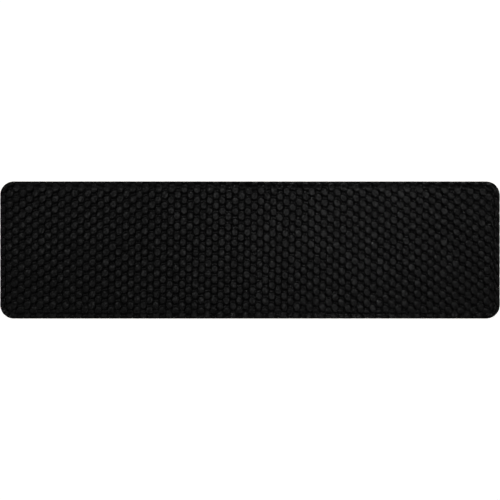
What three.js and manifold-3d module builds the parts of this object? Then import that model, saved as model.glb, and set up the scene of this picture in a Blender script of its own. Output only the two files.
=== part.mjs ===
// Snowboard stomp pad: a black bar-shaped traction pad that sticks to the deck between the bindings.
// Millimetres. X runs along the pad, Y across it, and Z is up from the underside of the backing paper.
import * as THREE from 'three';
import { mergeVertices } from 'three/addons/utils/BufferGeometryUtils.js';
import Module from 'manifold-3d';

// Overall plan
const PAD_LENGTH = 182;
const PAD_WIDTH = 50;
const CORNER_RADIUS = 5;
const CORNER_STEPS = 6;

// Layers, from the underside up
const LINER_THICKNESS = 0.12;
const LOWER_COAT_THICKNESS = 0.07;
const CARRIER_THICKNESS = 0.05;
const UPPER_COAT_THICKNESS = 0.07;
const CORE_THICKNESS = 3.25;
const SKIN_THICKNESS = 0.79;
const DOT_HEIGHT = 0.65;

// Pressed edge: a low rounded lip, then a groove, then the dotted field
const LIP_WIDTH = 1.6;
const LIP_BELOW_DOT_TOPS = 0.7;
const LIP_ROUNDING = 0.3;
const LIP_ROUNDING_STEPS = 3;
const GROOVE_WIDTH = 0.7;
const GROOVE_DEPTH = 0.5;
const GROOVE_DRAFT = 0.15;
const SKIN_WALL = 0.8;

// Dot pattern: staggered rows, turned a little against the pad's edges and bowed along its length
const COLUMN_SPACING = 2.328;
const ROW_SPACING = 1.912;
const PATTERN_CENTRE = new THREE.Vector2(1.1, 0.58);
const PATTERN_TURN = THREE.MathUtils.degToRad(-1.1);
const ROW_BOW = 0.0001;

// Split in the backing paper
const SLIT_WIDTH = 0.3;

// How far a joining or cutting body reaches past the face that it goes through
const REACH = 0.5;

// Heights of the faces
const CARRIER_BOTTOM = LINER_THICKNESS + LOWER_COAT_THICKNESS;
const CARRIER_TOP = CARRIER_BOTTOM + CARRIER_THICKNESS;
const CUSHION_BOTTOM = CARRIER_TOP + UPPER_COAT_THICKNESS;
const CORE_TOP = CUSHION_BOTTOM + CORE_THICKNESS;
const DOT_FOOT = CORE_TOP + SKIN_THICKNESS;
const DOT_TOP = DOT_FOOT + DOT_HEIGHT;
const LIP_TOP = DOT_TOP - LIP_BELOW_DOT_TOPS;
const GROOVE_FLOOR = LIP_TOP - GROOVE_DEPTH;
const SHEET_BOTTOM = GROOVE_FLOOR - REACH;

// Insets of the edge features from the pad's outline
const FIELD_INSET = LIP_WIDTH + GROOVE_WIDTH;
const CORE_INSET = FIELD_INSET + SKIN_WALL;

// Last column and row of dots, counted from the pattern's centre, before the sheet is trimmed
const LAST_COLUMN = Math.ceil(PAD_LENGTH / 2 / COLUMN_SPACING) + 1;
const LAST_ROW = Math.ceil(PAD_WIDTH / 2 / ROW_SPACING) + 1;

const wasm = await Module();
wasm.setup();

function material(color, roughness) {
  return new THREE.MeshStandardMaterial({ color, roughness, metalness: 0 });
}

// The pad's outline moved inwards: a rounded rectangle, anticlockwise seen from above.
function outline(inset) {
  const centreX = PAD_LENGTH / 2 - CORNER_RADIUS;
  const centreY = PAD_WIDTH / 2 - CORNER_RADIUS;
  const radius = CORNER_RADIUS - inset;
  const corners = [[1, 1], [-1, 1], [-1, -1], [1, -1]];
  const points = [];
  corners.forEach(([sideX, sideY], quarter) => {
    for (let step = 0; step <= CORNER_STEPS; step += 1) {
      const angle = (quarter + step / CORNER_STEPS) * Math.PI / 2;
      const x = sideX * centreX + radius * Math.cos(angle);
      const y = sideY * centreY + radius * Math.sin(angle);
      points.push(new THREE.Vector2(x, y));
    }
  });
  return points;
}

// One half of the outline: side is -1 for the half left of the slit and 1 for the half right of it.
function halfOutline(side) {
  const left = outline(0).filter((point) => point.x < 0);
  left.push(new THREE.Vector2(-SLIT_WIDTH / 2, -PAD_WIDTH / 2));
  left.push(new THREE.Vector2(-SLIT_WIDTH / 2, PAD_WIDTH / 2));
  return left.map((point) => point.multiplyScalar(-side));
}

// A closed body through a stack of loops with equal point counts, each { points, z }.
function loft(loops) {
  const count = loops[0].points.length;
  const positions = loops.flatMap(({ points, z }) => points.flatMap((point) => [point.x, point.y, z]));
  const indices = [];
  for (let level = 0; level < loops.length - 1; level += 1) {
    for (let here = 0; here < count; here += 1) {
      const next = (here + 1) % count;
      const low = level * count;
      const high = low + count;
      indices.push(low + here, low + next, high + next);
      indices.push(low + here, high + next, high + here);
    }
  }
  const top = (loops.length - 1) * count;
  for (const [a, b, c] of THREE.ShapeUtils.triangulateShape(loops[0].points, [])) {
    indices.push(a, c, b);
  }
  for (const [a, b, c] of THREE.ShapeUtils.triangulateShape(loops.at(-1).points, [])) {
    indices.push(top + a, top + b, top + c);
  }
  return bodyFrom(positions, indices);
}

function bodyFrom(positions, indices) {
  const geometry = new THREE.BufferGeometry();
  geometry.setAttribute('position', new THREE.Float32BufferAttribute(positions, 3));
  geometry.setIndex(indices);
  return geometry;
}

function slab(points, bottom, top) {
  return loft([{ points, z: bottom }, { points, z: top }]);
}

function solidFrom(geometry) {
  const merged = mergeVertices(geometry);
  const vertProperties = new Float32Array(merged.attributes.position.array);
  const triVerts = new Uint32Array(merged.index.array);
  return new wasm.Manifold(new wasm.Mesh({ numProp: 3, vertProperties, triVerts }));
}

function geometryFrom(solid) {
  const { vertProperties, triVerts } = solid.getMesh();
  return bodyFrom(Array.from(vertProperties), Array.from(triVerts));
}

// A point of the dot pattern, where column and row count from the pattern's centre.
function patternPoint(column, row) {
  const alongRow = column * COLUMN_SPACING;
  const acrossRows = row * ROW_SPACING - ROW_BOW * alongRow ** 2;
  const point = new THREE.Vector2(alongRow, acrossRows);
  return point.rotateAround(new THREE.Vector2(), PATTERN_TURN).add(PATTERN_CENTRE);
}

function holdsDot(column, row) {
  const inRange = Math.abs(column) <= LAST_COLUMN && Math.abs(row) <= LAST_ROW;
  return inRange && (column + row) % 2 === 0;
}

// The untrimmed sheet of dots: four-sided points that meet foot to foot, on a flat-bottomed block.
function dotSheet() {
  const positions = [];
  const indices = [];

  function addFace(...corners) {
    const first = positions.length / 3;
    corners.forEach(([point, z]) => positions.push(point.x, point.y, z));
    for (let last = 2; last < corners.length; last += 1) {
      indices.push(first, first + last - 1, first + last);
    }
  }

  function addDot(column, row) {
    const centre = patternPoint(column, row);
    const toFeet = [[1, 0], [0, 1], [-1, 0], [0, -1]];
    const feet = toFeet.map(([across, up]) => patternPoint(column + across, row + up));
    addFace(...feet.map((point) => [point, SHEET_BOTTOM]).reverse());
    toFeet.forEach(([across, up], here) => {
      const next = (here + 1) % toFeet.length;
      const [nextAcross, nextUp] = toFeet[next];
      addFace([feet[here], DOT_FOOT], [feet[next], DOT_FOOT], [centre, DOT_TOP]);
      if (holdsDot(column + across + nextAcross, row + up + nextUp)) return;
      addFace(
        [feet[here], SHEET_BOTTOM],
        [feet[next], SHEET_BOTTOM],
        [feet[next], DOT_FOOT],
        [feet[here], DOT_FOOT],
      );
    });
  }

  for (let column = -LAST_COLUMN; column <= LAST_COLUMN; column += 1) {
    for (let row = -LAST_ROW; row <= LAST_ROW; row += 1) {
      if (holdsDot(column, row)) addDot(column, row);
    }
  }
  return solidFrom(bodyFrom(positions, indices));
}

// The skin below the field: flat underside, rounded lip, and the groove floor carried right across.
function skinBase() {
  const loops = [{ points: outline(0), z: CUSHION_BOTTOM }];
  for (let step = 0; step <= LIP_ROUNDING_STEPS; step += 1) {
    const angle = step / LIP_ROUNDING_STEPS * Math.PI / 2;
    const inset = LIP_ROUNDING * (1 - Math.cos(angle));
    loops.push({ points: outline(inset), z: LIP_TOP - LIP_ROUNDING * (1 - Math.sin(angle)) });
  }
  loops.push({ points: outline(LIP_WIDTH), z: LIP_TOP });
  loops.push({ points: outline(LIP_WIDTH + GROOVE_DRAFT), z: GROOVE_FLOOR });
  return solidFrom(loft(loops));
}

function gripSheet() {
  const fieldFoot = { points: outline(FIELD_INSET - GROOVE_DRAFT), z: SHEET_BOTTOM };
  const fieldTop = { points: outline(FIELD_INSET), z: DOT_TOP + REACH };
  const field = dotSheet().intersect(solidFrom(loft([fieldFoot, fieldTop])));
  const corePocket = solidFrom(slab(outline(CORE_INSET), CUSHION_BOTTOM - REACH, CORE_TOP));
  return geometryFrom(skinBase().add(field).subtract(corePocket));
}

const stompPad = new THREE.Group();
stompPad.name = 'stomp_pad';

function addPiece(name, geometry, finish) {
  const mesh = new THREE.Mesh(geometry, finish);
  mesh.name = name;
  mesh.geometry.computeVertexNormals();
  stompPad.add(mesh);
}

const rubber = material('#202021', 0.55);
const foam = material('#3a3a3c', 0.95);
const adhesive = material('#d6cfb4', 0.3);
const film = material('#dfe3e4', 0.15);
const paper = material('#e4dcc6', 0.6);

addPiece('grip_sheet', gripSheet(), rubber);
addPiece('foam_core', slab(outline(CORE_INSET), CUSHION_BOTTOM, CORE_TOP), foam);
addPiece('adhesive_upper_coat', slab(outline(0), CARRIER_TOP, CUSHION_BOTTOM), adhesive);
addPiece('adhesive_carrier_film', slab(outline(0), CARRIER_BOTTOM, CARRIER_TOP), film);
addPiece('adhesive_lower_coat', slab(outline(0), LINER_THICKNESS, CARRIER_BOTTOM), adhesive);
addPiece('release_liner_left', slab(halfOutline(-1), 0, LINER_THICKNESS), paper);
addPiece('release_liner_right', slab(halfOutline(1), 0, LINER_THICKNESS), paper);

export default stompPad;
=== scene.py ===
"""Snowboard stomp pad: moulded dotted skin, foam core, tape and peel-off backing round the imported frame.

Lengths are in millimetres until a mesh is made, and every mesh is in metres in the frame of the CAD.
Sizes of the studio, its lights and the grain of the materials are in metres throughout.
"""
import math

import bpy
import numpy as np
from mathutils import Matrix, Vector, noise
from mathutils.geometry import delaunay_2d_cdt


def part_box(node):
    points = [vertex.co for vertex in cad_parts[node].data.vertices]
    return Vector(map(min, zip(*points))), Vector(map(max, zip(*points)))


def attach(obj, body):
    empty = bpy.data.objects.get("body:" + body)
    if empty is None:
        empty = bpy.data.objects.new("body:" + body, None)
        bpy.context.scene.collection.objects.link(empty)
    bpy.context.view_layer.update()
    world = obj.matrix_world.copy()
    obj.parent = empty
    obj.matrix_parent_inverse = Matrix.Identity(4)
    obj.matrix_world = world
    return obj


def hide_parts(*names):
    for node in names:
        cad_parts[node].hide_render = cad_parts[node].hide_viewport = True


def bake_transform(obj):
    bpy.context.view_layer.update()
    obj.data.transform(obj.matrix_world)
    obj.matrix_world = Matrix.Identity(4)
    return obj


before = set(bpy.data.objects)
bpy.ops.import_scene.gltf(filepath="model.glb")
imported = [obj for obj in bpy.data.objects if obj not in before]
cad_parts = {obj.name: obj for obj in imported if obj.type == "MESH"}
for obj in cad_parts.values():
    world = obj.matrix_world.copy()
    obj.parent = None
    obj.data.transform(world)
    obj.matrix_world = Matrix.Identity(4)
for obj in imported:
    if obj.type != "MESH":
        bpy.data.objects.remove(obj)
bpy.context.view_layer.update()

MM = 0.001

# The pad's outline and heights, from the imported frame
skin_low, skin_high = (np.array(corner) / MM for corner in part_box("grip_sheet"))
core_low, core_high = (np.array(corner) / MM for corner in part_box("foam_core"))
HALF_LENGTH = skin_high[0]
HALF_WIDTH = skin_high[1]
CORNER_RADIUS = 5.0
SKIN_BOTTOM = skin_low[2]
SKIN_TOP = skin_high[2]

# Moulded dots: staggered rows, laid a little askew, whose pitch and direction drift along the pad
COLUMN_SPACING = 2.326
ROW_SPACING = 1.912
PATTERN_X = 1.28
PATTERN_Y = 0.52
COLUMN_LEAN = 0.0419
ROW_FALL = 0.0393
PITCH_DRIFT = 0.00053
ROW_BOW = 0.00054
ROW_TWIST = 0.00051
MOST_COLUMNS = 42
MOST_ROWS = 16
PLACE_ROUNDS = 6

# One dot: an oval top on a wider oval foot, with half the length and half the width of each. The long
# axes of all dots point away from the centre of the fan.
DOT_HEIGHT = 0.62
DOT_TOP = (1.16, 1.04)
DOT_FOOT = (1.74, 1.57)
FOOT_SPREAD = 0.27
DOT_CROWN = 0.035
DIMPLE_REACH = 0.5
FAN_CENTRE = np.array([-5.0, 91.0])
TALL_DOT_ROOM = 0.06
DOT_FOOT_LEVEL = SKIN_TOP - DOT_HEIGHT - TALL_DOT_ROOM

# How much the dots differ: size and height as a share of the usual one, tilt as a slope, the rest in mm
SIZE_SPREAD = 0.025
HEIGHT_SPREAD = 0.03
TILT_SPREAD = 0.008
SHIFT_SPREAD = 0.05
DIMPLE_DEPTH = 0.03
DIMPLE_SPREAD = 0.04
DEEPEST_DIMPLE = 0.1

# Pressed edge, from the dotted field out to the rim: a V groove, then a lip with a rounded shoulder
FIELD_INSET = 2.35
FIELD_EDGE_DROP = 0.12
GROOVE_DROP = 0.95
GROOVE_RELIEF = 0.5
LIP_WIDTH = 1.2
LIP_WIDER_AT_ENDS = 0.6
LIP_DROP = 0.5
LIP_SHOULDER = 0.05
SHOULDER_LOOP = 0.08
EDGE_ROUNDING = 0.15
ROUNDING_ANGLES = (30, 60, 90)
LIP_TOP_LEVEL = SKIN_TOP - LIP_DROP

# What is left of the dots on the lip, and the crinkles there, which are strongest at the corners.
# The rubber's finish counts the lip as lower than it is, multiplied by LIP_RISE. The crinkles' noise
# has the fractal dimension, lacunarity and octaves of WRINKLE_FRACTAL.
LIP_LEVELLING = 0.6
LIP_RISE = 0.6
LIP_RISE_MARGIN = 0.01
WRINKLE_SCALE = 2.2
WRINKLE_SLICE = 5.0
WRINKLE_FRACTAL = (1.0, 2.0, 3)
LIP_WRINKLE = 0.04
CORNER_WRINKLE = 0.35
CORNER_REACH = 8
CRINKLE_POINTS = 4000

# Mesh of the skin
FEWEST_CORNER_STEPS = 6
LOOP_SPACING = 0.45
DOT_SEGMENTS = 16
DOT_RINGS = (-0.15, 0.06, 0.27, 0.48, 0.72, 1.0)
GAP_POINT_STEP = 0.45
FIELD_MARGIN = 0.08
LIP_INNER_MARGIN = 0.15
LIP_OUTER_MARGIN = 0.14
SHARP_ANGLE = 58
SAME_POINT = 1e-5
TINY = 1e-9

# Foam core, in the pocket on the underside of the skin
POCKET_GAP = 0.02
CORE_SPACING = 3.0
CORE_SOFTNESS = 0.3

# Backing paper
LINER_CORNER_ANGLES = range(0, 90, 10)
LINER_STEPS = 80
LINER_LINES = 13

rng = np.random.default_rng(20)


# ---------------------------------------------------------------- moulded relief

def outline(inset, spacing):
    """Points along the pad's outline moved inwards, anticlockwise, about one spacing apart."""
    radius = CORNER_RADIUS - inset
    centre_x = HALF_LENGTH - CORNER_RADIUS
    centre_y = HALF_WIDTH - CORNER_RADIUS
    corner_steps = max(FEWEST_CORNER_STEPS, round(radius * math.pi / 2 / spacing))
    points = []
    for quarter, (side_x, side_y) in enumerate([(1, 1), (-1, 1), (-1, -1), (1, -1)]):
        for step in range(corner_steps):
            angle = (quarter + step / corner_steps) * math.pi / 2
            points.append((side_x * centre_x + radius * math.cos(angle),
                           side_y * centre_y + radius * math.sin(angle)))
        straight = 2 * (centre_x if quarter % 2 == 0 else centre_y)
        count = round(straight / spacing)
        angle = (quarter + 1) * math.pi / 2
        start = np.array([side_x * centre_x + radius * math.cos(angle),
                          side_y * centre_y + radius * math.sin(angle)])
        along = np.array([-math.sin(angle), math.cos(angle)])
        points += [tuple(start + along * straight * step / count) for step in range(count)]
    return np.array(points)


def edge_distance(points):
    """How far inside the pad's outline each point is."""
    reach = np.abs(points) - np.array([HALF_LENGTH, HALF_WIDTH]) + CORNER_RADIUS
    outside = np.linalg.norm(np.maximum(reach, 0), axis=1)
    inside = np.minimum(reach.max(axis=1), 0)
    return CORNER_RADIUS - outside - inside


def pattern_point(column, row):
    """Where the dot pattern's place (column, row) lies on the pad."""
    x = PATTERN_X + COLUMN_SPACING * column + COLUMN_LEAN * row - PITCH_DRIFT * column ** 2
    y = PATTERN_Y + ROW_SPACING * row - ROW_FALL * column - ROW_BOW * column ** 2
    return np.stack([x, y - ROW_TWIST * column * row], axis=-1)


def pattern_place(points):
    """The (column, row) of each point: the inverse of pattern_point, found in a few rounds."""
    column = np.zeros(len(points))
    row = np.zeros(len(points))
    for _ in range(PLACE_ROUNDS):
        column = (points[:, 0] - PATTERN_X - COLUMN_LEAN * row + PITCH_DRIFT * column ** 2) / COLUMN_SPACING
        bend = ROW_FALL * column + ROW_BOW * column ** 2 + ROW_TWIST * column * row
        row = (points[:, 1] - PATTERN_Y + bend) / ROW_SPACING
    return column, row


# Every place's own unevenness. Only the places whose column and row add up to an even number hold a dot.
grid_shape = (2 * MOST_COLUMNS + 1, 2 * MOST_ROWS + 1)
dot_size = rng.normal(1.0, SIZE_SPREAD, grid_shape)
dot_rise = rng.normal(1.0, HEIGHT_SPREAD, grid_shape)
dot_tilt = rng.normal(0.0, TILT_SPREAD, (*grid_shape, 2))
dot_shift = rng.normal(0.0, SHIFT_SPREAD, (*grid_shape, 2))
dot_dimple = np.clip(rng.normal(DIMPLE_DEPTH, DIMPLE_SPREAD, grid_shape), 0, DEEPEST_DIMPLE)


def all_places():
    """Every place of the pattern that the pad can reach, as one array of (column, row)."""
    columns, rows = np.meshgrid(np.arange(-MOST_COLUMNS + 1, MOST_COLUMNS),
                                np.arange(-MOST_ROWS + 1, MOST_ROWS), indexing="ij")
    return np.stack([columns.ravel(), rows.ravel()], axis=-1)


def unevenness(values, place):
    """The values that belong to these places."""
    index = place + [MOST_COLUMNS, MOST_ROWS]
    return values[index[:, 0], index[:, 1]]


def dot_axes(place):
    """A dot's centre and the directions of its long and short axes, which fan out over the pad."""
    centre = pattern_point(place[:, 0], place[:, 1]) + unevenness(dot_shift, place)
    long_axis = centre - FAN_CENTRE
    long_axis /= np.linalg.norm(long_axis, axis=1)[:, None]
    return centre, long_axis, np.stack([long_axis[:, 1], -long_axis[:, 0]], axis=-1)


def foot_length(long_axis):
    """Half the length of a dot's foot, which is longer where its long axis leans towards the next dot."""
    return DOT_FOOT[0] + FOOT_SPREAD * np.abs(2 * long_axis[:, 0] * long_axis[:, 1])


def places_near(points):
    """The dot places round each point, one array of places for each step away."""
    column, row = pattern_place(points)
    for step_column in (-1, 0, 1):
        for step_row in (-1, 0, 1):
            yield np.stack([np.rint(column) + step_column, np.rint(row) + step_row], axis=-1).astype(int)


def dot_reach(points, place):
    """Each point's offset from a dot, and its reach: -1 at the centre, 0 at the shoulder, 1 at the foot."""
    centre, long_axis, short_axis = dot_axes(place)
    offset = points - centre
    along = (offset * long_axis).sum(axis=1)
    across = (offset * short_axis).sum(axis=1)
    away = np.maximum(np.hypot(along, across), TINY)
    size = unevenness(dot_size, place)
    shoulder = size * away / np.hypot(along / DOT_TOP[0], across / DOT_TOP[1])
    foot = size * away / np.hypot(along / foot_length(long_axis), across / DOT_FOOT[1])
    reach = np.where(away < shoulder, away / shoulder - 1, (away - shoulder) / (foot - shoulder))
    reach[place.sum(axis=1) % 2 != 0] = np.inf
    return offset, reach


def nearest_dot(points):
    """The place of the dot that each point belongs to."""
    best_reach = np.full(len(points), np.inf)
    best = np.zeros((len(points), 2), int)
    for place in places_near(points):
        _, reach = dot_reach(points, place)
        nearer = reach < best_reach
        best_reach[nearer] = reach[nearer]
        best[nearer] = place[nearer]
    return best


def relief(points):
    """Height of the moulded pattern above the dots' feet, where neighbouring dots run smoothly together."""
    uncovered = np.ones(len(points))
    weight = np.full(len(points), TINY)
    height = np.zeros(len(points))
    for place in places_near(points):
        offset, reach = dot_reach(points, place)
        fall = np.clip(reach, 0, 1)
        dome = 1 - fall ** 2 * (3 - 2 * fall)
        inward = np.clip(1 + reach, 0, 1)
        top = DOT_HEIGHT * unevenness(dot_rise, place) * (1 - DOT_CROWN * inward ** 4)
        top += (offset * unevenness(dot_tilt, place)).sum(axis=1)
        top -= unevenness(dot_dimple, place) * np.exp(-(inward / DIMPLE_REACH) ** 2)
        uncovered *= 1 - dome
        weight += dome
        height += dome * top
    return (1 - uncovered) * height / weight


def pressed(points):
    """Height of what is left of the pattern on the lip, above the lip's own level, with its crinkles."""
    wrinkle = [noise.fractal(Vector((x * WRINKLE_SCALE, y * WRINKLE_SCALE, WRINKLE_SLICE)), *WRINKLE_FRACTAL)
               for x, y in points]
    to_corner = HALF_LENGTH - np.abs(points[:, 0]) + HALF_WIDTH - np.abs(points[:, 1])
    corner = np.clip(1 - to_corner / CORNER_REACH, 0, 1)
    left_over = relief(points) - LIP_LEVELLING * DOT_HEIGHT
    return left_over + np.array(wrinkle) * (LIP_WRINKLE + CORNER_WRINKLE * corner)


# ---------------------------------------------------------------- points of the skin

def dot_samples():
    """Points on rings round every dot, each kept only where its own dot is the nearest, and in the gaps."""
    every_place = all_places()
    place = every_place[every_place.sum(axis=1) % 2 == 0]
    centre, long_axis, short_axis = dot_axes(place)
    size = unevenness(dot_size, place)[:, None]
    samples = [(place, centre)]
    for reach in DOT_RINGS:
        for segment in range(DOT_SEGMENTS):
            angle = 2 * math.pi * segment / DOT_SEGMENTS
            top = 1 / math.hypot(math.cos(angle) / DOT_TOP[0], math.sin(angle) / DOT_TOP[1])
            foot = 1 / np.hypot(math.cos(angle) / foot_length(long_axis), math.sin(angle) / DOT_FOOT[1])
            radius = top * (1 + reach) if reach < 0 else top + (foot - top)[:, None] * reach
            outwards = long_axis * math.cos(angle) + short_axis * math.sin(angle)
            samples.append((place, centre + outwards * size * radius))
    owner = np.concatenate([owners for owners, _ in samples])
    points = np.concatenate([ring for _, ring in samples])
    on_pad = edge_distance(points) > 0
    owner, points = owner[on_pad], points[on_pad]
    dots = points[(nearest_dot(points) == owner).all(axis=1)]
    gaps = every_place[every_place.sum(axis=1) % 2 == 1]
    middle = pattern_point(gaps[:, 0], gaps[:, 1])
    between = np.concatenate([middle + (step, 0) for step in (0, GAP_POINT_STEP, -GAP_POINT_STEP)])
    return np.concatenate([dots, between[edge_distance(between) > 0]])


def corner_crinkles():
    """Points strewn over the four corners, for the lip's crinkles there."""
    crinkles = rng.uniform(0, CORNER_RADIUS, (CRINKLE_POINTS, 2)) * rng.choice([-1, 1], (CRINKLE_POINTS, 2))
    crinkles += np.sign(crinkles) * ([HALF_LENGTH, HALF_WIDTH] - np.full(2, CORNER_RADIUS))
    return crinkles


def ends_drawn_in(distance, inset):
    """The scale in x and y that draws the ends of the outline at this inset inwards by the distance."""
    return np.array([1 - distance / (HALF_LENGTH - inset), 1])


def edge_loops():
    """Closed loops with their heights, from the edge of the dotted field out and down to the rim."""
    groove_middle = (LIP_WIDTH + FIELD_INSET) / 2
    field_edge = outline(FIELD_INSET, LOOP_SPACING)
    groove = outline(groove_middle, LOOP_SPACING) * ends_drawn_in(LIP_WIDER_AT_ENDS / 2, groove_middle)
    lip_inner = outline(LIP_WIDTH, LOOP_SPACING) * ends_drawn_in(LIP_WIDER_AT_ENDS, LIP_WIDTH)
    loops = [
        (field_edge, DOT_FOOT_LEVEL + relief(field_edge) - FIELD_EDGE_DROP),
        (groove, SKIN_TOP - GROOVE_DROP + GROOVE_RELIEF * relief(groove)),
    ]
    for ring in (lip_inner, outline(LIP_SHOULDER + SHOULDER_LOOP, LOOP_SPACING),
                 outline(LIP_SHOULDER, LOOP_SPACING)):
        loops.append((ring, LIP_TOP_LEVEL + pressed(ring)))
    for angle in ROUNDING_ANGLES:
        ring = outline(LIP_SHOULDER * (1 - math.sin(math.radians(angle))), LOOP_SPACING)
        drop = EDGE_ROUNDING * (1 - math.cos(math.radians(angle)))
        loops.append((ring, LIP_TOP_LEVEL + pressed(ring) - drop))
    return loops


def field_and_lip_points():
    """The points inside the field's edge, and those on the lip."""
    samples = dot_samples()
    field = samples[edge_distance(samples) > FIELD_INSET + FIELD_MARGIN]
    samples = np.concatenate([samples, corner_crinkles()])
    inside_lip = edge_distance(samples / ends_drawn_in(LIP_WIDER_AT_ENDS, LIP_WIDTH))
    lip = samples[(inside_lip < LIP_WIDTH - LIP_INNER_MARGIN)
                  & (edge_distance(samples) > LIP_SHOULDER + LIP_OUTER_MARGIN)]
    return field, lip


# ---------------------------------------------------------------- meshes

def mesh_object(name, vertices, faces, smooth=True):
    """A new object in the scene from vertices in millimetres."""
    mesh = bpy.data.meshes.new(name)
    mesh.from_pydata((np.asarray(vertices) * MM).tolist(), [], faces)
    mesh.validate()
    mesh.update()
    mesh.polygons.foreach_set("use_smooth", [smooth] * len(mesh.polygons))
    made = bpy.data.objects.new(name, mesh)
    bpy.context.scene.collection.objects.link(made)
    return made


def ring_faces(lower, upper, count):
    """Quads between two rings of vertices that start at these indices, facing out when upper is higher."""
    return [(lower + i, lower + (i + 1) % count, upper + (i + 1) % count, upper + i) for i in range(count)]


def ring_edges(first, count):
    """The edges of a closed ring of points that starts at this index."""
    return [(first + i, first + (i + 1) % count) for i in range(count)]


def triangulate(points, edges):
    """Triangles over flat points that keep these edges. Adding or merging a point is an error."""
    flat = [Vector(point) for point in points.tolist()]
    flat, _, faces, _, _, _ = delaunay_2d_cdt(flat, edges, [], 0, SAME_POINT, False)
    if len(flat) != len(points):
        raise ValueError(f"triangulation changed the points: {len(points)} to {len(flat)}")
    return [tuple(face) for face in faces]


def close_sheet(vertices, faces, rim_first, rim):
    """Adds the side wall under the rim, and the underside with the pocket for the foam."""
    rim_count = len(rim)
    wall_first = len(vertices)
    vertices += [(x, y, SKIN_BOTTOM) for x, y in rim]
    faces += ring_faces(wall_first, rim_first, rim_count)
    pocket = outline(HALF_WIDTH - core_high[1] - POCKET_GAP, CORE_SPACING)
    pocket_count = len(pocket)
    pocket_first = len(vertices)
    vertices += [(x, y, SKIN_BOTTOM) for x, y in pocket]
    vertices += [(x, y, core_high[2] + POCKET_GAP) for x, y in pocket]
    under_edges = ring_edges(0, rim_count) + ring_edges(rim_count, pocket_count)
    for face in triangulate(np.concatenate([rim, pocket]), under_edges):
        is_pocket = all(i >= rim_count for i in face)
        if is_pocket:
            faces.append(tuple(pocket_first + pocket_count + i - rim_count for i in face)[::-1])
        else:
            faces.append(tuple(wall_first + i if i < rim_count else pocket_first + i - rim_count
                               for i in face)[::-1])
    faces += ring_faces(pocket_first + pocket_count, pocket_first, pocket_count)


def make_grip_sheet():
    """The moulded skin: its dotted top, groove and lip, with the side wall and the underside."""
    field, lip = field_and_lip_points()
    points, heights, edges = [], [], []
    for ring, z in edge_loops():
        edges += ring_edges(sum(len(earlier) for earlier in points), len(ring))
        points.append(ring)
        heights.append(z)
    rim = points[-1]
    rim_first = sum(len(ring) for ring in points[:-1])
    points += [field, lip]
    heights += [DOT_FOOT_LEVEL + relief(field), LIP_TOP_LEVEL + pressed(lip)]
    points = np.concatenate(points)
    heights = np.minimum(np.concatenate(heights), SKIN_TOP)
    faces = triangulate(points, edges)
    vertices = [(x, y, z) for (x, y), z in zip(points, heights)]
    close_sheet(vertices, faces, rim_first, rim)
    sheet = mesh_object("grip_sheet_moulded", vertices, faces)
    sheet.data.set_sharp_from_angle(angle=math.radians(SHARP_ANGLE))

    # How high each vertex is on its dot, from 0 to 1, for the rubber's finish
    vertices = np.array(vertices)
    rise = np.clip((vertices[:, 2] - DOT_FOOT_LEVEL) / DOT_HEIGHT, 0, 1)
    rise[edge_distance(vertices[:, :2]) < LIP_WIDTH + LIP_RISE_MARGIN] *= LIP_RISE
    sheet.data.attributes.new("rise", "FLOAT", "POINT").data.foreach_set("value", rise)
    return sheet


def make_foam_core():
    """The foam bar in the skin's pocket, with its cut edges slightly rounded."""
    inset = HALF_WIDTH - core_high[1] + POCKET_GAP
    top = core_high[2] - POCKET_GAP
    loops = [(inset + CORE_SOFTNESS, core_low[2]), (inset, core_low[2] + CORE_SOFTNESS),
             (inset, top - CORE_SOFTNESS), (inset + CORE_SOFTNESS, top)]
    rings = [outline(ring_inset, CORE_SPACING) for ring_inset, _ in loops]
    count = len(rings[0])
    vertices = [(x, y, z) for ring, (_, z) in zip(rings, loops) for x, y in ring]
    last = len(rings) - 1
    faces = [tuple(range(count))[::-1], tuple(range(last * count, (last + 1) * count))]
    for level in range(last):
        faces += ring_faces(level * count, (level + 1) * count, count)
    return mesh_object("foam_core_bar", vertices, faces, smooth=False)


def liner_reaches(slit):
    """How far from the pad's middle each cross line of the paper is, from the rounded end to the slit."""
    corner_cuts = [CORNER_RADIUS * (1 - math.cos(math.radians(angle))) for angle in LINER_CORNER_ANGLES]
    corner_start = HALF_LENGTH - CORNER_RADIUS
    straight = corner_start - slit
    return ([HALF_LENGTH - cut for cut in corner_cuts]
            + [corner_start - straight * step / LINER_STEPS for step in range(LINER_STEPS + 1)])


def make_liner(name, node, side):
    """One half of the backing paper, finely divided along its length."""
    low, high = (np.array(corner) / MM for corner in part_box(node))
    reaches = liner_reaches(min(abs(low[0]), abs(high[0])))
    vertices = []
    for z in (low[2], high[2]):
        for reach in reaches:
            into_corner = max(0.0, reach - (HALF_LENGTH - CORNER_RADIUS))
            half = HALF_WIDTH - CORNER_RADIUS + math.sqrt(max(0.0, CORNER_RADIUS ** 2 - into_corner ** 2))
            vertices += [(side * reach, half * (2 * line / (LINER_LINES - 1) - 1), z)
                         for line in range(LINER_LINES)]
    layer = len(reaches) * LINER_LINES
    faces = []
    for step in range(len(reaches) - 1):
        for line in range(LINER_LINES - 1):
            first = step * LINER_LINES + line
            quad = (first, first + 1, first + LINER_LINES + 1, first + LINER_LINES)
            upper = tuple(layer + i for i in quad)
            faces += [quad, upper[::-1]] if side < 0 else [quad[::-1], upper]
    rim = list(range(LINER_LINES))
    rim += [step * LINER_LINES + LINER_LINES - 1 for step in range(1, len(reaches))]
    rim += [(len(reaches) - 1) * LINER_LINES + line for line in range(LINER_LINES - 2, -1, -1)]
    rim += [step * LINER_LINES for step in range(len(reaches) - 2, 0, -1)]
    for here, after in zip(rim, rim[1:] + rim[:1]):
        wall = (here, after, layer + after, layer + here)
        faces.append(wall[::-1] if side < 0 else wall)
    return mesh_object(name, vertices, faces, smooth=False)


# ---------------------------------------------------------------- materials

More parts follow.
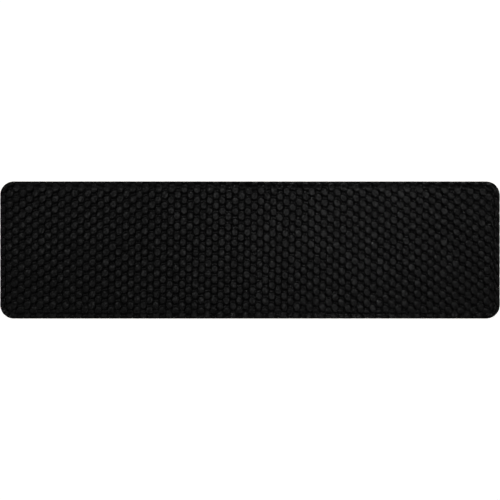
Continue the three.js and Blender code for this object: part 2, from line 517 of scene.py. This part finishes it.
def new_material(name):
    """A material with its node tree, its shader and the object's own coordinates."""
    made = bpy.data.materials.new(name)
    made.use_nodes = True
    tree = made.node_tree
    shader = tree.nodes["Principled BSDF"]
    coordinates = tree.nodes.new("ShaderNodeTexCoord")
    return made, tree, shader, coordinates.outputs["Object"]


def noise_node(tree, position, scale, detail, roughness=0.55):
    """A noise between 0 and 1, with its scale in cycles per metre."""
    node = tree.nodes.new("ShaderNodeTexNoise")
    node.inputs["Scale"].default_value = scale
    node.inputs["Detail"].default_value = detail
    node.inputs["Roughness"].default_value = roughness
    tree.links.new(position, node.inputs["Vector"])
    return node.outputs["Fac"]


def ramp_node(tree, factor, stops):
    """A colour ramp between two stops, each a place with a grey level or a colour."""
    node = tree.nodes.new("ShaderNodeValToRGB")
    tree.links.new(factor, node.inputs["Fac"])
    for element, (place, value) in zip(node.color_ramp.elements, stops):
        element.position = place
        element.color = (*value, 1) if isinstance(value, tuple) else (value, value, value, 1)
    return node.outputs["Color"]


def math_node(tree, operation, *values):
    """The result of one operation on sockets and plain numbers."""
    node = tree.nodes.new("ShaderNodeMath")
    node.operation = operation
    for socket, value in zip(node.inputs, values):
        if isinstance(value, (int, float)):
            socket.default_value = value
        else:
            tree.links.new(value, socket)
    return node.outputs[0]


def bump_node(tree, height, strength, distance, over=None):
    """A bump whose full height is the distance in metres, on top of another bump if one is given."""
    node = tree.nodes.new("ShaderNodeBump")
    node.inputs["Strength"].default_value = strength
    node.inputs["Distance"].default_value = distance
    tree.links.new(height, node.inputs["Height"])
    if over:
        tree.links.new(over, node.inputs["Normal"])
    return node.outputs["Normal"]


# How much the orange peel adds to the rubber's roughness, and how far that sum is lowered
PEEL_IN_ROUGHNESS = 0.9
ROUGHNESS_SHIFT = 0.33


def rubber_material():
    """Black moulded rubber: dusty, grained like orange peel, with glossy flecks on the dots' tops."""
    made, tree, shader, position = new_material("black_rubber")
    attribute = tree.nodes.new("ShaderNodeAttribute")
    attribute.attribute_name = "rise"
    rise = attribute.outputs["Fac"]
    dust = noise_node(tree, position, scale=260, detail=3.0)
    grain = noise_node(tree, position, scale=5200, detail=3.0, roughness=0.6)
    peel = noise_node(tree, position, scale=1500, detail=3.0, roughness=0.6)
    flecks = noise_node(tree, position, scale=1900, detail=2.0)
    tree.links.new(ramp_node(tree, dust, [(0.3, 0.0022), (0.7, 0.0036)]), shader.inputs["Base Color"])
    matt = ramp_node(tree, rise, [(0.05, 0.22), (0.75, 0.38)])
    uneven = math_node(tree, "MULTIPLY_ADD", peel, PEEL_IN_ROUGHNESS, matt)
    tree.links.new(math_node(tree, "SUBTRACT", uneven, ROUGHNESS_SHIFT), shader.inputs["Roughness"])
    orange_peel = bump_node(tree, peel, strength=1.0, distance=0.00022)
    fine_grain = bump_node(tree, grain, strength=0.6, distance=0.00005, over=orange_peel)
    tree.links.new(fine_grain, shader.inputs["Normal"])
    shader.inputs["Specular IOR Level"].default_value = 0.5
    on_tops = ramp_node(tree, rise, [(0.6, 0.0), (0.95, 1.0)])
    in_flecks = ramp_node(tree, flecks, [(0.50, 0.0), (0.62, 1.0)])
    tree.links.new(math_node(tree, "MULTIPLY", on_tops, in_flecks), shader.inputs["Coat Weight"])
    shader.inputs["Coat Roughness"].default_value = 0.06
    return made


def foam_material():
    """Dark grey closed-cell foam."""
    made, tree, shader, position = new_material("closed_cell_foam")
    cells = tree.nodes.new("ShaderNodeTexVoronoi")
    cells.inputs["Scale"].default_value = 2600
    tree.links.new(position, cells.inputs["Vector"])
    distance = cells.outputs["Distance"]
    colour = ramp_node(tree, distance, [(0.1, (0.02, 0.02, 0.021)), (0.6, (0.05, 0.05, 0.052))])
    tree.links.new(colour, shader.inputs["Base Color"])
    bump = bump_node(tree, distance, strength=0.6, distance=0.0001)
    tree.links.new(bump, shader.inputs["Normal"])
    shader.inputs["Roughness"].default_value = 0.9
    return made


def adhesive_material():
    """Yellowish, shiny, streaky acrylic adhesive."""
    made, tree, shader, position = new_material("adhesive")
    streaks = noise_node(tree, position, scale=420, detail=4.0)
    colour = ramp_node(tree, streaks, [(0.3, (0.60, 0.55, 0.40)), (0.7, (0.70, 0.66, 0.52))])
    tree.links.new(colour, shader.inputs["Base Color"])
    tree.links.new(ramp_node(tree, streaks, [(0.3, 0.22), (0.7, 0.38)]), shader.inputs["Roughness"])
    bump = bump_node(tree, streaks, strength=0.25, distance=0.00005)
    tree.links.new(bump, shader.inputs["Normal"])
    return made


def film_material():
    """Pale glossy carrier film."""
    made, tree, shader, position = new_material("clear_film")
    waves = noise_node(tree, position, scale=150, detail=2.0)
    colour = ramp_node(tree, waves, [(0.3, (0.72, 0.75, 0.76)), (0.7, (0.78, 0.80, 0.81))])
    tree.links.new(colour, shader.inputs["Base Color"])
    tree.links.new(ramp_node(tree, waves, [(0.3, 0.08), (0.7, 0.16)]), shader.inputs["Roughness"])
    return made


# The colour sockets of a Mix node, which share their names with its number sockets
MIX_FIRST_COLOUR = 6
MIX_SECOND_COLOUR = 7
MIX_RESULT_COLOUR = 2


def paper_material():
    """Yellowish siliconed paper, with fibres and a cloudy tint."""
    made, tree, shader, position = new_material("release_paper")
    fibres = noise_node(tree, position, scale=900, detail=6.0, roughness=0.7)
    cloud = noise_node(tree, position, scale=70, detail=3.0)
    darker = ramp_node(tree, fibres, [(0.35, (0.60, 0.53, 0.38)), (0.65, (0.69, 0.62, 0.47))])
    lighter = ramp_node(tree, fibres, [(0.35, (0.64, 0.58, 0.43)), (0.65, (0.73, 0.67, 0.52))])
    mix = tree.nodes.new("ShaderNodeMix")
    mix.data_type = "RGBA"
    tree.links.new(cloud, mix.inputs["Factor"])
    tree.links.new(darker, mix.inputs[MIX_FIRST_COLOUR])
    tree.links.new(lighter, mix.inputs[MIX_SECOND_COLOUR])
    tree.links.new(mix.outputs[MIX_RESULT_COLOUR], shader.inputs["Base Color"])
    tree.links.new(ramp_node(tree, fibres, [(0.3, 0.36), (0.7, 0.5)]), shader.inputs["Roughness"])
    bump = bump_node(tree, fibres, strength=0.2, distance=0.00003)
    tree.links.new(bump, shader.inputs["Normal"])
    return made


# ---------------------------------------------------------------- assembly

rubber = rubber_material()
adhesive = adhesive_material()
paper = paper_material()

grip_sheet = make_grip_sheet()
grip_sheet.data.materials.append(rubber)
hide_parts("grip_sheet")
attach(grip_sheet, "pad")

foam_core = make_foam_core()
foam_core.data.materials.append(foam_material())
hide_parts("foam_core")
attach(foam_core, "pad")

for node, finish in (("adhesive_upper_coat", adhesive), ("adhesive_carrier_film", film_material()),
                     ("adhesive_lower_coat", adhesive)):
    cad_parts[node].material_slots[0].material = finish

for half, side in (("left", -1), ("right", 1)):
    liner = make_liner(f"release_paper_{half}", f"release_liner_{half}", side)
    liner.data.materials.append(paper)
    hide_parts(f"release_liner_{half}")
    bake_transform(liner)


# ---------------------------------------------------------------- floor, light and camera

FLOOR_HALF = 4.0
FLOOR_GAP = 0.0003
BACKDROP_HEIGHT = 0.32
CAMERA_HEIGHT = 0.9
CAMERA_SENSOR = 36
CENTRE = (0, 0, 0)


def make_floor():
    """A wide pale floor just under the pad, turned up all round as a low backdrop."""
    corners = [(-FLOOR_HALF, -FLOOR_HALF), (FLOOR_HALF, -FLOOR_HALF), (FLOOR_HALF, FLOOR_HALF),
               (-FLOOR_HALF, FLOOR_HALF)]
    vertices = [(x, y, level) for level in (-FLOOR_GAP, BACKDROP_HEIGHT) for x, y in corners]
    sides = [side_face[::-1] for side_face in ring_faces(0, len(corners), len(corners))]
    mesh = bpy.data.meshes.new("floor")
    mesh.from_pydata(vertices, [], [tuple(range(len(corners)))] + sides)
    floor = bpy.data.objects.new("floor", mesh)
    bpy.context.scene.collection.objects.link(floor)
    made, _, shader, _ = new_material("pale_floor")
    shader.inputs["Base Color"].default_value = (0.85, 0.85, 0.85, 1)
    shader.inputs["Roughness"].default_value = 0.9
    shader.inputs["Emission Color"].default_value = (1, 1, 1, 1)
    shader.inputs["Emission Strength"].default_value = 0.95
    floor.data.materials.append(made)


def make_light(name, location, target, size, power, spread=180):
    """A round studio light, with its beam narrowed where a spread in degrees is given."""
    data = bpy.data.lights.new(name, "AREA")
    data.shape = "DISK"
    data.size = size
    data.energy = power
    data.spread = math.radians(spread)
    light = bpy.data.objects.new(name, data)
    light.location = location
    light.rotation_euler = (Vector(target) - Vector(location)).to_track_quat("-Z", "Y").to_euler()
    bpy.context.scene.collection.objects.link(light)


def make_camera():
    """A camera straight above the pad, whose picture is as wide as the pad is long."""
    data = bpy.data.cameras.new("camera")
    camera = bpy.data.objects.new("camera", data)
    frame_width = 2 * HALF_LENGTH * MM
    data.sensor_width = CAMERA_SENSOR
    data.lens = data.sensor_width * CAMERA_HEIGHT / frame_width
    camera.location = (0, 0, SKIN_TOP * MM + CAMERA_HEIGHT)
    bpy.context.scene.collection.objects.link(camera)
    bpy.context.scene.camera = camera


def make_world():
    """A dim even light from all round."""
    world = bpy.data.worlds.new("studio")
    bpy.context.scene.world = world
    world.use_nodes = True
    background = world.node_tree.nodes["Background"]
    background.inputs["Color"].default_value = (1, 1, 1, 1)
    background.inputs["Strength"].default_value = 0.03


make_floor()
make_light("softbox", (-0.01, 0.17, 0.5), CENTRE, size=0.45, power=0.24)
make_light("key", (-0.02, 0.11, 0.2), (0.06, 0, 0), size=0.015, power=0.0035, spread=50)
make_light("back_panel", (-1.06, 1.06, 0.65), CENTRE, size=0.9, power=0.45)
make_light("front_panel", (1.06, -1.06, 0.42), CENTRE, size=0.9, power=0.45)
make_camera()
make_world()
bpy.context.scene.view_settings.view_transform = "Standard"
